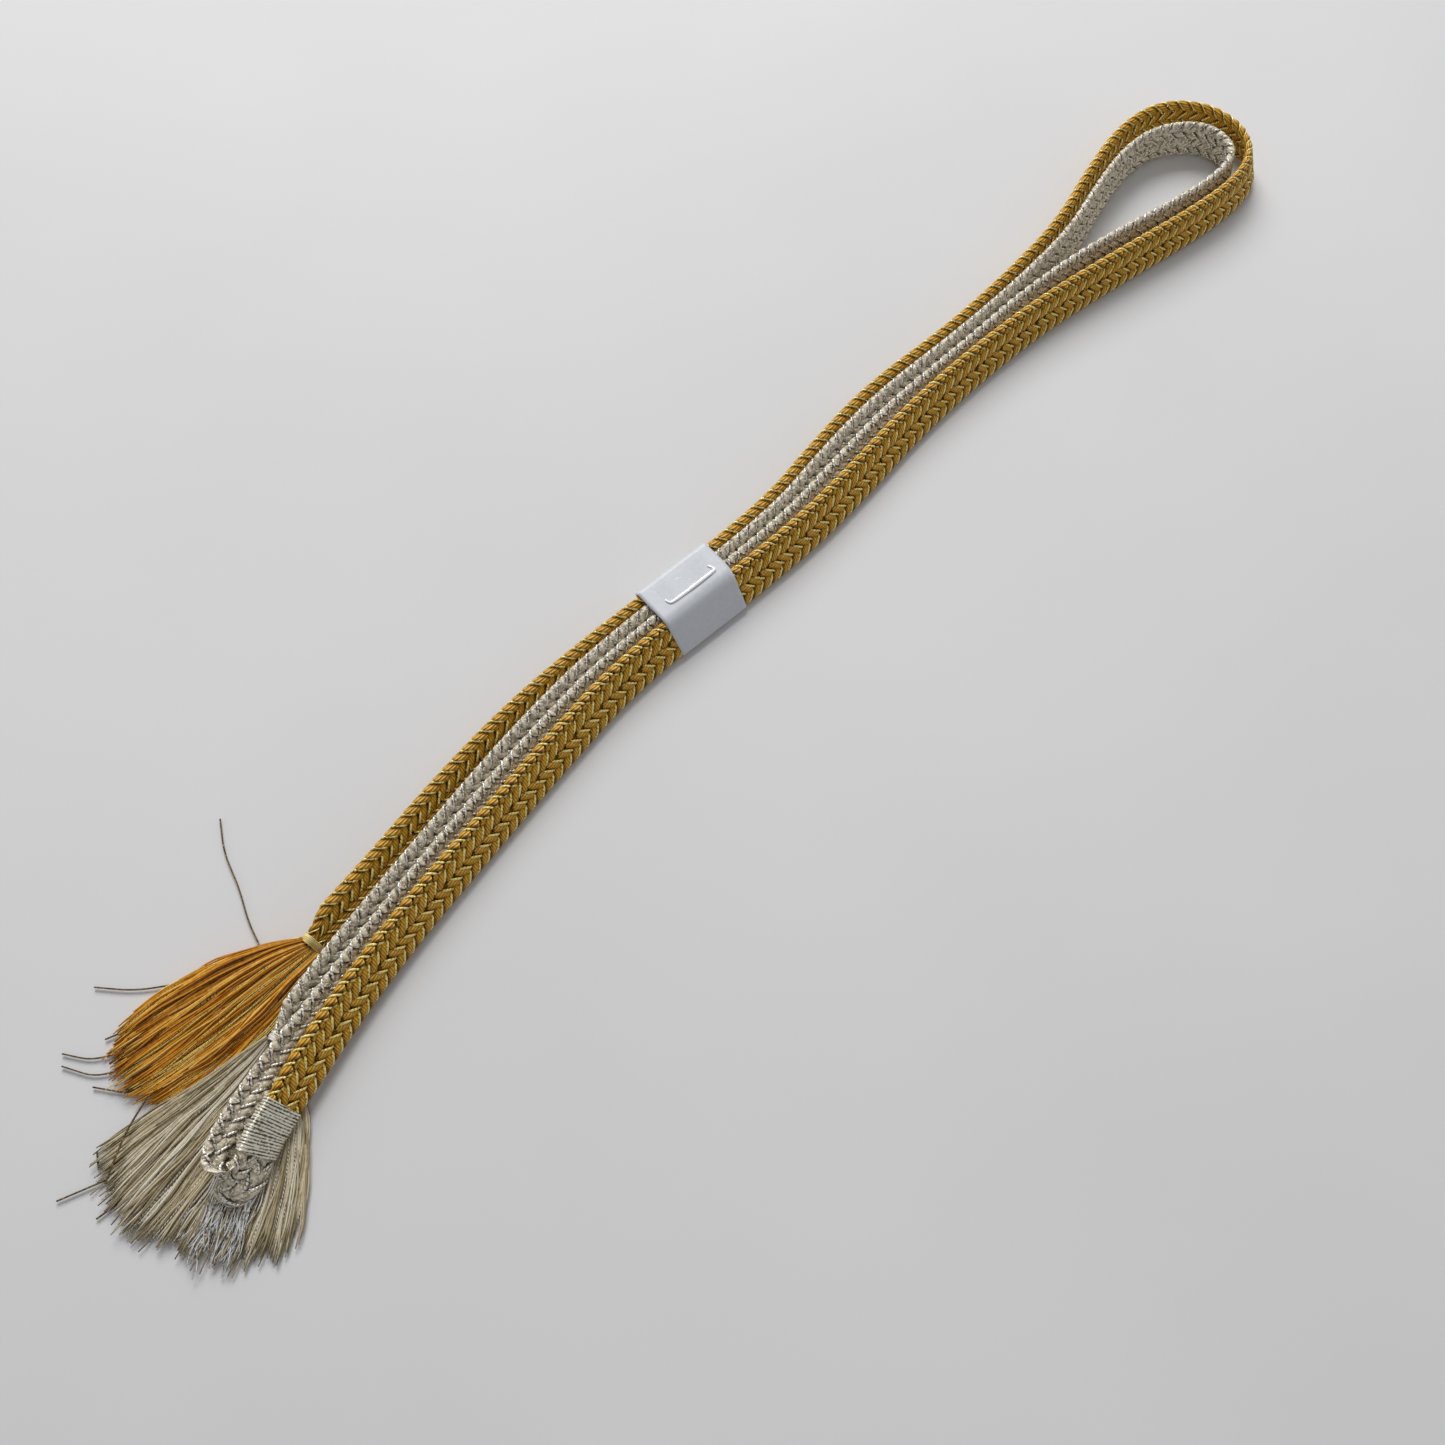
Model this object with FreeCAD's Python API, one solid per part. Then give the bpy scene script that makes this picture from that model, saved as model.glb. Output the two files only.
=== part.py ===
"""Braided sash cord, folded in four and held by a paper band.

One flat braided cord, half gold and half silver, lies folded in four on a surface. Its two
halves meet in a whipping of thread at one end of the hank, where the cord folds back tightly.
At the other end both halves pass round in an open loop, the gold outside the silver. Each cut
end has a thread tie and a tassel. A band of paper, closed with clear tape, slides on the hank.

Units are millimetres. +X runs from the tassels to the loop, +Z is up, and the origin is at the
middle of the object's footprint. The four layers lean the same way, with their tops towards +Y.
"""
import FreeCAD, Part
import math
import os

# The flat braid: its size, its lean and its lowest level
CORD_WIDTH = 11.4
CORD_THICKNESS = 2.4
LEAN = math.radians(50.0)
CORD_BOTTOM = 0.8

# The share of the shorter run that each bend of a route takes
BEND_SHARE = 0.45

# Fit of the pieces that are wrapped on the cord
WRAP_GAP = 0.1
TIE_WALL = 0.3
TIE_LENGTH = 2.2
WHIPPING_LENGTH = 11.0
WHIPPING_CENTRE = (-180.9, -23.62)

# The paper band and its tape
BAND_LENGTH = 24.0
BAND_WALL = 0.3
BAND_SIDE_GAP = 0.3
BAND_TOP_GAP = 0.26
BAND_BLUNT_CORNER = 1.5
BAND_SHARP_CORNER = 0.3
BAND_CENTRE_X = -13.2
TAPE_SIZE = (16.2, 8.2)
TAPE_THICKNESS = 0.1

# The tassels and the loose threads
GOLD_TASSEL_HEIGHT = 5.7
SILVER_TASSEL_HEIGHT = 3.8
SILVER_UNDERLAY = 0.35
THREAD_SIZE = 0.35
THREAD_LEVEL = 0.5
OVER_TASSEL_LEVEL = 4.0

# Routes of the two halves, as plan points at the cord's middle height
GOLD_ROUTE = [
    (-146.8, 1.9), (-124.4, 3.4), (-99.8, 6.3), (-69.3, 7.9), (-38.9, 5.8), (18.1, -1.0),
    (46.5, 2.0), (71.2, 3.1), (101.6, -0.6), (128.2, -1.6), (154.8, -0.7), (177.7, 4.8),
    (198.5, 8.2), (214.7, 5.1), (223.7, -6.2), (224.0, -19.5), (217.1, -28.5), (204.2, -30.7),
    (185.2, -27.8), (158.7, -21.3), (130.2, -14.8), (101.6, -11.0), (71.2, -9.7),
    (46.5, -11.0), (18.1, -11.2), (-38.9, -4.4), (-69.3, -6.3), (-99.8, -9.1),
    (-131.1, -12.3), (-160.4, -17.7), (-182.9, -24.2),
]
SILVER_ROUTE = [
    (-182.9, -24.2), (-187.4, -25.5), (-192.5, -27.9), (-196.8, -27.2), (-197.6, -23.4),
    (-193.2, -21.1), (-185.8, -20.1), (-174.8, -17.5), (-160.5, -13.3), (-131.1, -8.4),
    (-99.8, -4.8), (-69.3, -2.0), (-38.9, -1.0), (18.1, -7.8), (46.5, -6.2), (71.2, -5.4),
    (101.6, -7.6), (130.2, -9.2), (156.8, -13.7), (182.4, -20.8), (199.5, -24.3),
    (211.4, -24.1), (216.6, -18.8), (216.4, -9.0), (206.1, 0.2), (191.9, 2.5), (173.8, -0.2),
    (154.8, -4.6), (128.2, -5.5), (101.6, -4.1), (71.2, -0.8), (46.5, -1.5), (18.1, -4.4),
    (-38.9, 2.4), (-69.3, 2.2), (-99.8, -0.7), (-131.1, -4.4), (-149.6, -6.8),
    (-167.7, -10.6),
]

# The straight run of the gold leg beside the band, which sets the band's direction
BAND_RUN = ((-38.9, -4.4), (18.1, -11.2))
LAYER_PITCH = 3.4
LAYERS = 4

# Plan outlines of the tassels
GOLD_TASSEL = [
    (-147.2, -1.5), (-147.2, 4.9), (-154.8, 11.4), (-163.9, 16.5), (-171.9, 18.6),
    (-183.1, 19.6), (-189.0, 20.5), (-194.3, 17.7), (-196.5, 13.7), (-195.7, 5.7),
    (-195.0, -0.6), (-189.1, -2.3), (-180.7, -1.9), (-170.4, -4.2), (-159.6, -3.4),
]
SILVER_TASSEL = [
    (-168.2, -13.3), (-168.2, -8.0), (-180.5, -5.3), (-197.0, -3.0), (-205.6, 0.9),
    (-211.9, 3.5), (-214.7, -3.8), (-217.0, -12.0), (-217.0, -15.3), (-214.1, -24.2),
    (-211.4, -33.7), (-204.2, -41.8), (-193.8, -46.2), (-179.1, -35.1), (-174.8, -28.8),
    (-186.2, -33.1), (-195.2, -35.5), (-200.9, -32.3), (-201.2, -23.8), (-199.0, -18.4),
    (-188.1, -17.7), (-176.7, -14.8),
]
SILVER_UNDERLAY_PLAN = [
    (-174.8, -28.8), (-171.0, -20.9), (-176.7, -14.8), (-188.1, -17.7), (-199.0, -18.4),
    (-201.2, -23.8), (-200.9, -32.3), (-195.2, -35.5), (-186.2, -33.1),
]

# Loose metallic threads that stick out of the tassels, from root to tip
GOLD_STRAYS = [
    [(-155.0, 12.0), (-152.6, 19.9), (-148.5, 28.1), (-144.8, 38.6), (-139.7, 46.1)],
    [(-172.5, 19.2), (-182.4, 27.0), (-188.5, 35.1)],
    [(-189.6, 20.8), (-194.7, 23.0)],
    [(-194.9, 18.1), (-200.1, 21.7), (-203.7, 27.9)],
    [(-196.8, 14.4), (-202.0, 18.0), (-205.6, 25.6)],
    [(-196.6, 7.8), (-199.4, 9.4), (-203.7, 16.2)],
]
STRAY_OVER_SILVER = [(-195.7, 3.4), (-203.9, 1.0), (-210.7, -2.5), (-214.9, -4.9)]
SILVER_STRAYS = [
    [(-214.9, -3.0), (-225.4, 1.7)],
    [(-212.2, 3.7), (-214.4, 0.3)],
    [(-216.6, -9.1), (-221.7, -8.2)],
]


def corner_arc(before, corner, after, radius):
    """Tangent points and middle of the arc that rounds one corner."""
    back, on = before - corner, after - corner
    back.normalize()
    on.normalize()
    half_gap = back.getAngle(on) / 2
    reach = radius / math.tan(half_gap)
    inward = back + on
    inward.normalize()
    centre = corner + inward * (radius / math.sin(half_gap))
    return corner + back * reach, centre - inward * radius, corner + on * reach


def bend_radius(before, corner, after):
    """Radius of a route's bend, from its share of the shorter run."""
    back, on = before - corner, after - corner
    half_turn = (math.pi - back.getAngle(on)) / 2
    return BEND_SHARE * min(back.Length, on.Length) / math.tan(half_turn)


def route_edges(name, plan):
    """Straight runs joined by tangent arcs, and a printed list of the radii."""
    points = [FreeCAD.Vector(x, y, 0) for x, y in plan]
    edges, start, radii = [], points[0], []
    for before, corner, after in zip(points, points[1:], points[2:]):
        radius = bend_radius(before, corner, after)
        enter, middle, leave = corner_arc(before, corner, after, radius)
        edges.append(Part.LineSegment(start, enter).toShape())
        edges.append(Part.Arc(enter, middle, leave).toShape())
        start = leave
        radii.append(round(radius, 1))
    edges.append(Part.LineSegment(start, points[-1]).toShape())
    print(name, "radii", radii, "length", round(sum(e.Length for e in edges), 1))
    return edges


def side_of(edge, offset):
    """The same line or arc, moved sideways by offset to the left of travel."""
    stops = (edge.FirstParameter, (edge.FirstParameter + edge.LastParameter) / 2, edge.LastParameter)
    moved = []
    for stop in stops:
        along = edge.tangentAt(stop)
        moved.append(edge.valueAt(stop) + FreeCAD.Vector(-along.y, along.x, 0) * offset)
    if isinstance(edge.Curve, Part.Line):
        return Part.LineSegment(moved[0], moved[2]).toShape()
    return Part.Arc(*moved).toShape()


def strip_face(edges, width):
    """Flat strip of the given width along a route in the plan."""
    left = [side_of(edge, width / 2) for edge in edges]
    right = [side_of(edge, -width / 2) for edge in edges]
    caps = []
    for stop in (0, -1):
        ends = [side[stop].Vertexes[stop].Point for side in (left, right)]
        caps.append(Part.LineSegment(*ends).toShape())
    return Part.Face(Part.Wire(Part.__sortEdges__(left + right + caps)))


def lean_vector(height):
    """Rise of the leaning layers over a height: up, and sideways towards +Y."""
    return FreeCAD.Vector(0, height / math.tan(LEAN), height)


def cord(name, route):
    """Leaning flat cord: its plan strip is extruded along the lean."""
    height = CORD_WIDTH * math.sin(LEAN)
    face = strip_face(route_edges(name, route), CORD_THICKNESS / math.sin(LEAN))
    rise = lean_vector(height)
    face.translate(FreeCAD.Vector(0, -rise.y / 2, CORD_BOTTOM))
    solid = face.extrude(rise)
    print(name, "volume", round(solid.Volume, 1), "section", round(CORD_WIDTH * CORD_THICKNESS, 2))
    return solid


def rounded_outline(corners, radii):
    """Closed wire of straight sides with an arc of its own radius at each corner."""
    count = len(corners)
    arcs = [corner_arc(corners[i - 1], corners[i], corners[(i + 1) % count], radii[i])
            for i in range(count)]
    edges = []
    for arc, following in zip(arcs, arcs[1:] + arcs[:1]):
        edges.append(Part.Arc(*arc).toShape())
        edges.append(Part.LineSegment(arc[2], following[0]).toShape())
    return Part.Wire(edges)


def leaning_corners(half_width, bottom, top, along):
    """Corners of a leaning section across the direction along, about the cord's middle height."""
    across = FreeCAD.Vector(-along.y, along.x, 0)
    middle = CORD_BOTTOM + CORD_WIDTH * math.sin(LEAN) / 2
    spread = along.x / math.tan(LEAN)
    corners = []
    for side, level in ((-1, bottom), (1, bottom), (1, top), (-1, top)):
        sideways = side * half_width + (level - middle) * spread
        corners.append(across * sideways + FreeCAD.Vector(0, 0, level))
    return corners


def sleeve(centre, along, length, inner, outer, radii_inner, radii_outer):
    """Ring with a leaning section, centred at a plan point and extruded along its direction."""
    start = FreeCAD.Vector(centre[0], centre[1], 0) - along * (length / 2)
    solids = []
    for (half_width, bottom, top), radii in ((outer, radii_outer), (inner, radii_inner)):
        wire = rounded_outline(leaning_corners(half_width, bottom, top, along), radii)
        wire.translate(start)
        solids.append(Part.Face(wire).extrude(along * length))
    return solids[0].cut(solids[1])


def wrap(centre, along, length):
    """Close winding of thread round the cord."""
    half = CORD_THICKNESS / math.sin(LEAN) / 2
    low, high = CORD_BOTTOM, CORD_BOTTOM + CORD_WIDTH * math.sin(LEAN)
    inner = (half + WRAP_GAP, low - WRAP_GAP, high + WRAP_GAP)
    grown = WRAP_GAP + TIE_WALL
    outer = (half + grown / math.sin(LEAN), low - grown, high + grown)
    return sleeve(centre, along, length, inner, outer, [0.02] * 4, [0.3] * 4)


def unit(start, end):
    """Plan direction from one point to another."""
    direction = FreeCAD.Vector(end[0] - start[0], end[1] - start[1], 0)
    direction.normalize()
    return direction


def end_tie(route):
    """Thread tie round the cut end of a route, flush with it."""
    along = unit(route[0], route[1])
    start = FreeCAD.Vector(route[0][0], route[0][1], 0)
    centre = start + along * (TIE_LENGTH / 2)
    return wrap((centre.x, centre.y), along, TIE_LENGTH)


def whipping():
    """Winding that covers the joint of the two halves."""
    return wrap(WHIPPING_CENTRE, unit(GOLD_ROUTE[-1], GOLD_ROUTE[-2]), WHIPPING_LENGTH)


def band_place():
    """Plan centre and direction of the paper band on the straight run of the hank."""
    (x0, y0), (x1, y1) = BAND_RUN
    middle = LAYER_PITCH * (LAYERS - 1) / 2
    centre_y = y0 + (y1 - y0) * (BAND_CENTRE_X - x0) / (x1 - x0) + middle
    return (BAND_CENTRE_X, centre_y), unit(*BAND_RUN)


def band_section():
    """Half width, underside and top of the hank inside the band, with its gaps."""
    _, along = band_place()
    stack = LAYER_PITCH * (LAYERS - 1) * along.x + CORD_THICKNESS / math.sin(LEAN)
    top = CORD_BOTTOM + CORD_WIDTH * math.sin(LEAN) + BAND_TOP_GAP
    return stack / 2 + BAND_SIDE_GAP, BAND_WALL, top


def paper_band():
    """Paper strip closed round the hank, with its underside flat on the ground."""
    centre, along = band_place()
    half, bottom, top = band_section()
    outer = (half + BAND_WALL / math.sin(LEAN), bottom - BAND_WALL, top + BAND_WALL)
    inside = [BAND_SHARP_CORNER, BAND_BLUNT_CORNER] * 2
    outside = [radius + BAND_WALL for radius in inside]
    return sleeve(centre, along, BAND_LENGTH, (half, bottom, top), outer, inside, outside)


def clear_tape():
    """Flat piece of tape on top of the band."""
    centre, along = band_place()
    _, _, top = band_section()
    corners = leaning_corners(TAPE_SIZE[1] / 2, top + BAND_WALL, top + BAND_WALL, along)[:2]
    origin = FreeCAD.Vector(centre[0], centre[1], 0)
    length = along * (TAPE_SIZE[0] / 2)
    outline = [origin + corners[0] - length, origin + corners[0] + length,
               origin + corners[1] + length, origin + corners[1] - length]
    face = Part.Face(Part.makePolygon(outline + outline[:1]))
    return face.extrude(FreeCAD.Vector(0, 0, TAPE_THICKNESS))


def prism(plan, bottom, height):
    """Upright solid on a plan outline."""
    corners = [FreeCAD.Vector(x, y, bottom) for x, y in plan]
    return Part.Face(Part.makePolygon(corners + corners[:1])).extrude(FreeCAD.Vector(0, 0, height))


def silver_tassel():
    """Fanned tassel, with the thin layer of it that lies under the fold."""
    fan = prism(SILVER_TASSEL, 0, SILVER_TASSEL_HEIGHT)
    return fan.fuse(prism(SILVER_UNDERLAY_PLAN, 0, SILVER_UNDERLAY)).removeSplitter()


def thread(name, plan, level):
    """One loose flat thread that lies along a route."""
    face = strip_face(route_edges(name, plan), THREAD_SIZE)
    face.translate(FreeCAD.Vector(0, 0, level))
    return face.extrude(FreeCAD.Vector(0, 0, THREAD_SIZE))


def strays(name, routes):
    """The loose threads of one tassel, as separate solids."""
    return [thread(name, route, THREAD_LEVEL) for route in routes]


def build():
    """Every piece of the hank by its node's name."""
    gold_strays = strays("gold_stray", GOLD_STRAYS)
    gold_strays.append(thread("gold_stray", STRAY_OVER_SILVER, OVER_TASSEL_LEVEL))
    return {
        "gold_braid": cord("gold_braid", GOLD_ROUTE),
        "silver_braid": cord("silver_braid", SILVER_ROUTE),
        "centre_whipping": whipping(),
        "gold_end_tie": end_tie(GOLD_ROUTE),
        "silver_end_tie": end_tie(SILVER_ROUTE[::-1]),
        "gold_tassel": prism(GOLD_TASSEL, 0, GOLD_TASSEL_HEIGHT),
        "silver_tassel": silver_tassel(),
        "gold_stray_threads": Part.makeCompound(gold_strays),
        "silver_stray_threads": Part.makeCompound(strays("silver_stray", SILVER_STRAYS)),
        "paper_band": paper_band(),
        "clear_tape": clear_tape(),
    }


def main():
    os.makedirs("parts", exist_ok=True)
    for name, shape in build().items():
        shape.exportStep("parts/" + name + ".step")
        print(name, "valid", shape.isValid(), "solids", len(shape.Solids))


main()
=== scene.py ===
"""Braided sash cord, folded in four: its braids, wrappings, tassels and paper band.

The cord is one flat braid of seven strands, gold to its middle and silver from there on. Every
strand is a tube worked out in the braid's own flat coordinates: s along it, u across its width
and d out of its face. A ribbon then carries those coordinates along the route, leaning.
"""
import math

import bpy
import numpy as np
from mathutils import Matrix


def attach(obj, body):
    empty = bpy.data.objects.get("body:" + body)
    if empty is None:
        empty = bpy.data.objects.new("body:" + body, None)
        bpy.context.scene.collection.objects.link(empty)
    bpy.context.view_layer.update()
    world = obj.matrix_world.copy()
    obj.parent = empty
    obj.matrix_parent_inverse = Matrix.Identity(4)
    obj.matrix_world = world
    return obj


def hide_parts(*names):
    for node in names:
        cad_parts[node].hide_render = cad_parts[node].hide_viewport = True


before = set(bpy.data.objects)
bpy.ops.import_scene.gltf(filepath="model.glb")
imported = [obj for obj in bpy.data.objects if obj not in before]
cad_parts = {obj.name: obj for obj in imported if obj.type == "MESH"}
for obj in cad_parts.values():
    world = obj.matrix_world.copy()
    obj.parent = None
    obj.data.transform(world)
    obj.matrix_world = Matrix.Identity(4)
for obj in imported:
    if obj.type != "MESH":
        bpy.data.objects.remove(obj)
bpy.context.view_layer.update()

MM = 0.001

# The braid. In one period a strand crosses the cord and comes back. A yarn strand is a flattened
# tube, and its metallic thread is a round one, shifted by a share of the pitch of the strands
STRANDS = 7
STRAND_PITCH = 3.61 * MM
PERIOD = STRANDS * STRAND_PITCH
STRAND_HALF_WIDTH = 1.14 * MM
STRAND_HALF_THICKNESS = 0.66 * MM
METAL_RADIUS = 0.33 * MM
METAL_LIFT = 0.44 * MM
METAL_SHIFT = 0.38

# A strand's line swings this far to each side of the cord's middle line and middle plane
WEAVE_REACH = 5.0 * MM
WEAVE_DEPTH = 0.57 * MM

# Rings of a tube in one period, corners in a ring, and the share of their spacing by which rings
# stand closer where a strand turns round an edge
YARN_RINGS, YARN_SIDES = 52, 8
METAL_RINGS, METAL_SIDES = 40, 6
EDGE_CROWDING = 0.6

# Routes of the two halves: the middle line of the flat cord, in millimetres
GOLD_ROUTE = [
    (-146.8, 1.9, 5.1), (-124.4, 3.4, 4.95), (-99.8, 6.3, 4.95), (-69.3, 7.9, 4.95),
    (-38.9, 5.8, 4.95), (18.1, -1.0, 4.95), (46.5, 2.0, 4.95), (71.2, 3.1, 4.95),
    (101.6, -0.6, 4.95), (128.2, -1.6, 5.6), (154.8, -0.7, 5.8), (177.7, 4.8, 6.0),
    (198.5, 8.2, 6.1), (214.7, 5.1, 6.1), (223.7, -6.2, 6.1), (224.0, -19.5, 6.1),
    (217.1, -28.5, 6.1), (204.2, -30.7, 6.0), (185.2, -27.8, 5.9), (158.7, -21.3, 5.8),
    (130.2, -14.8, 5.6), (101.6, -11.0, 5.1), (71.2, -9.7, 4.95), (46.5, -11.0, 4.95),
    (18.1, -11.2, 4.95), (-38.9, -4.4, 4.95), (-69.3, -6.3, 4.95), (-99.8, -9.1, 4.95),
    (-131.1, -12.3, 5.5), (-160.4, -17.9, 6.1), (-182.9, -24.4, 6.5),
]
SILVER_ROUTE = [
    (-182.9, -24.4, 6.5), (-186.8, -25.8, 6.3), (-190.4, -27.8, 5.9), (-194.6, -28.0, 5.7),
    (-196.4, -24.8, 5.8), (-193.4, -21.4, 6.2), (-186.0, -19.0, 6.7), (-174.8, -16.5, 6.8),
    (-160.5, -13.6, 6.3), (-131.1, -8.7, 5.4), (-99.8, -4.8, 4.95), (-69.3, -2.0, 4.95),
    (-38.9, -1.1, 4.95), (18.1, -7.9, 4.95), (46.5, -6.2, 4.95), (71.2, -5.4, 4.95),
    (101.6, -7.8, 5.1), (130.2, -9.4, 5.8), (156.8, -13.7, 6.0), (182.4, -20.8, 6.2),
    (199.5, -24.3, 6.2), (211.4, -24.1, 6.2), (216.6, -18.8, 6.2), (216.4, -9.0, 6.2),
    (206.1, 0.2, 6.2), (191.9, 2.5, 6.2), (173.8, -0.2, 6.2), (154.8, -4.6, 6.0),
    (128.2, -5.4, 5.7), (101.6, -3.9, 5.1), (71.2, -0.8, 4.95), (46.5, -1.5, 4.95),
    (18.1, -4.3, 4.95), (-38.9, 2.5, 4.95), (-69.3, 2.2, 4.95), (-99.8, -0.7, 4.95),
    (-131.1, -4.4, 4.95), (-149.6, -6.8, 5.1), (-167.7, -10.6, 5.8),
]
SPLINE_STEPS = 40
SAME_POINT = 1e-7

# Lean of the braid's width from the ground, in degrees, at places along X in millimetres
GOLD_LEAN = ((60, 50), (150, 60), (205, 66))
SILVER_LEAN = ((75, 50), (120, 58), (160, 72), (205, 80))

# Tilt of the ribbon's top edge towards +X where it folds back at the tied end
FOLD_TILT = ((-195.5, 0.6), (-186, 0.0))

# Change of lean, in degrees, at distances in millimetres past the joint of the two halves
FOLD_LEAN = ((4, 0), (12, -10), (24, -20), (38, -22), (56, 0))

# Share of its width that the cord keeps in the ties at its cut ends and in the whipping. A tie
# grips to the first distance from a cut end, and the full width is back at the second. The
# whipping's grip grows from the first to the second distance past the joint of the halves, holds
# to the third and is gone at the fourth
TIE_SQUEEZE = 0.5
WHIP_SQUEEZE = 0.88
TIE_GRIP = np.array([2.4, 9]) * MM
WHIP_GRIP = np.array([-18, -8, 5, 14]) * MM

random = np.random.default_rng(7)


# ---------------------------------------------------------------- meshes

def new_piece(name, corners, faces, uv=None, shade=None):
    """Mesh object from an array of corners and a list of arrays of faces with equal side counts."""
    mesh = bpy.data.meshes.new(name)
    loops = np.concatenate([face.ravel() for face in faces])
    sizes = np.concatenate([np.full(len(face), face.shape[1]) for face in faces])
    mesh.vertices.add(len(corners))
    mesh.vertices.foreach_set("co", np.ascontiguousarray(corners, dtype=np.float32).ravel())
    mesh.loops.add(len(loops))
    mesh.loops.foreach_set("vertex_index", loops.astype(np.int32))
    mesh.polygons.add(len(sizes))
    mesh.polygons.foreach_set("loop_start", (np.cumsum(sizes) - sizes).astype(np.int32))
    mesh.polygons.foreach_set("use_smooth", np.ones(len(sizes), dtype=bool))
    mesh.update(calc_edges=True)
    if uv is not None:
        layer = mesh.uv_layers.new(name="UVMap")
        layer.uv.foreach_set("vector", uv.astype(np.float32).ravel())
    if shade is not None:
        layer = mesh.attributes.new("shade", "FLOAT", "POINT")
        layer.data.foreach_set("value", shade.astype(np.float32).ravel())
    piece = bpy.data.objects.new(name, mesh)
    bpy.context.scene.collection.objects.link(piece)
    return piece


def tubes(name, rings, shade=None):
    """Closed tubes from an array (tube, ring, side, xyz): quads between rings and a cap at each end.

    The UV map holds the share of the way round and the distance along in millimetres.
    """
    count, length, sides = rings.shape[:3]
    middles = rings.mean(axis=2)
    along = np.gradient(middles, axis=1)
    spokes = rings - middles[:, :, None]
    turning = np.cross(spokes, np.roll(spokes, -1, axis=2)).sum(axis=2)
    wrong = (turning * along).sum(axis=(1, 2)) < 0
    rings = np.where(wrong[:, None, None, None], rings[:, :, ::-1], rings)
    index = np.arange(count * length * sides).reshape(count, length, sides)
    low, high = index[:, :-1], index[:, 1:]
    quads = np.stack([low, np.roll(low, -1, 2), np.roll(high, -1, 2), high], -1).reshape(-1, 4)
    caps = np.concatenate([index[:, 0, ::-1], index[:, -1]])
    steps = np.linalg.norm(np.diff(middles, axis=1), axis=2) / MM
    reach = np.concatenate([np.zeros((count, 1)), np.cumsum(steps, axis=1)], axis=1)
    round_low = np.broadcast_to(np.arange(sides) / sides, (count, length - 1, sides))
    reach_low = np.broadcast_to(reach[:, :-1, None], round_low.shape)
    reach_high = np.broadcast_to(reach[:, 1:, None], round_low.shape)
    round_high = round_low + 1 / sides
    uv = np.stack([
        np.stack([round_low, reach_low], -1), np.stack([round_high, reach_low], -1),
        np.stack([round_high, reach_high], -1), np.stack([round_low, reach_high], -1),
    ], axis=3).reshape(-1, 2)
    uv = np.concatenate([uv, np.zeros((caps.size, 2))])
    if shade is not None:
        shade = np.broadcast_to(shade, (count, length, sides)).ravel()
    return new_piece(name, rings.reshape(-1, 3), [quads, caps], uv, shade)


def tube_rings(lines, radius, sides, up=(0, 0, 1)):
    """Rings of round tubes along an array of lines (tube, point, xyz), square to each line."""
    along = np.gradient(lines, axis=1)
    along /= np.linalg.norm(along, axis=-1, keepdims=True)
    across = np.cross(along, np.asarray(up, dtype=float))
    across /= np.linalg.norm(across, axis=-1, keepdims=True)
    rise = np.cross(across, along)
    angle = np.arange(sides) * (2 * math.pi / sides)
    radius = np.broadcast_to(np.asarray(radius, dtype=float), lines.shape[:2])[..., None, None]
    spokes = across[:, :, None] * np.cos(angle)[:, None] + rise[:, :, None] * np.sin(angle)[:, None]
    return lines[:, :, None] + radius * spokes


# ---------------------------------------------------------------- the cord's line and its frame

def spline_points(route):
    """Points on the smooth line of a route: an open NURBS spline of order 3 on its points."""
    data = bpy.data.curves.new("route", "CURVE")
    data.dimensions = "3D"
    data.resolution_u = SPLINE_STEPS
    spline = data.splines.new("NURBS")
    spline.points.add(len(route) - 1)
    # Every point weighs 1, which is 1 / MM before the row is scaled
    controls = np.array([(*point, 1 / MM) for point in route]) * MM
    spline.points.foreach_set("co", controls.ravel())
    spline.order_u = 3
    spline.use_endpoint_u = True
    carrier = bpy.data.objects.new("route", data)
    mesh = bpy.data.meshes.new_from_object(carrier)
    points = np.empty(len(mesh.vertices) * 3)
    mesh.vertices.foreach_get("co", points)
    bpy.data.objects.remove(carrier)
    bpy.data.meshes.remove(mesh)
    bpy.data.curves.remove(data)
    points = points.reshape(-1, 3)
    apart = np.linalg.norm(np.diff(points, axis=0), axis=1) > SAME_POINT
    return points[np.concatenate([[True], apart])]


def distances(points):
    """Distance along a line of points, from its first."""
    return np.concatenate([[0.0], np.cumsum(np.linalg.norm(np.diff(points, axis=0), axis=1))])


def unit(vectors):
    """Vectors of length one."""
    return vectors / np.linalg.norm(vectors, axis=-1, keepdims=True)


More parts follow.
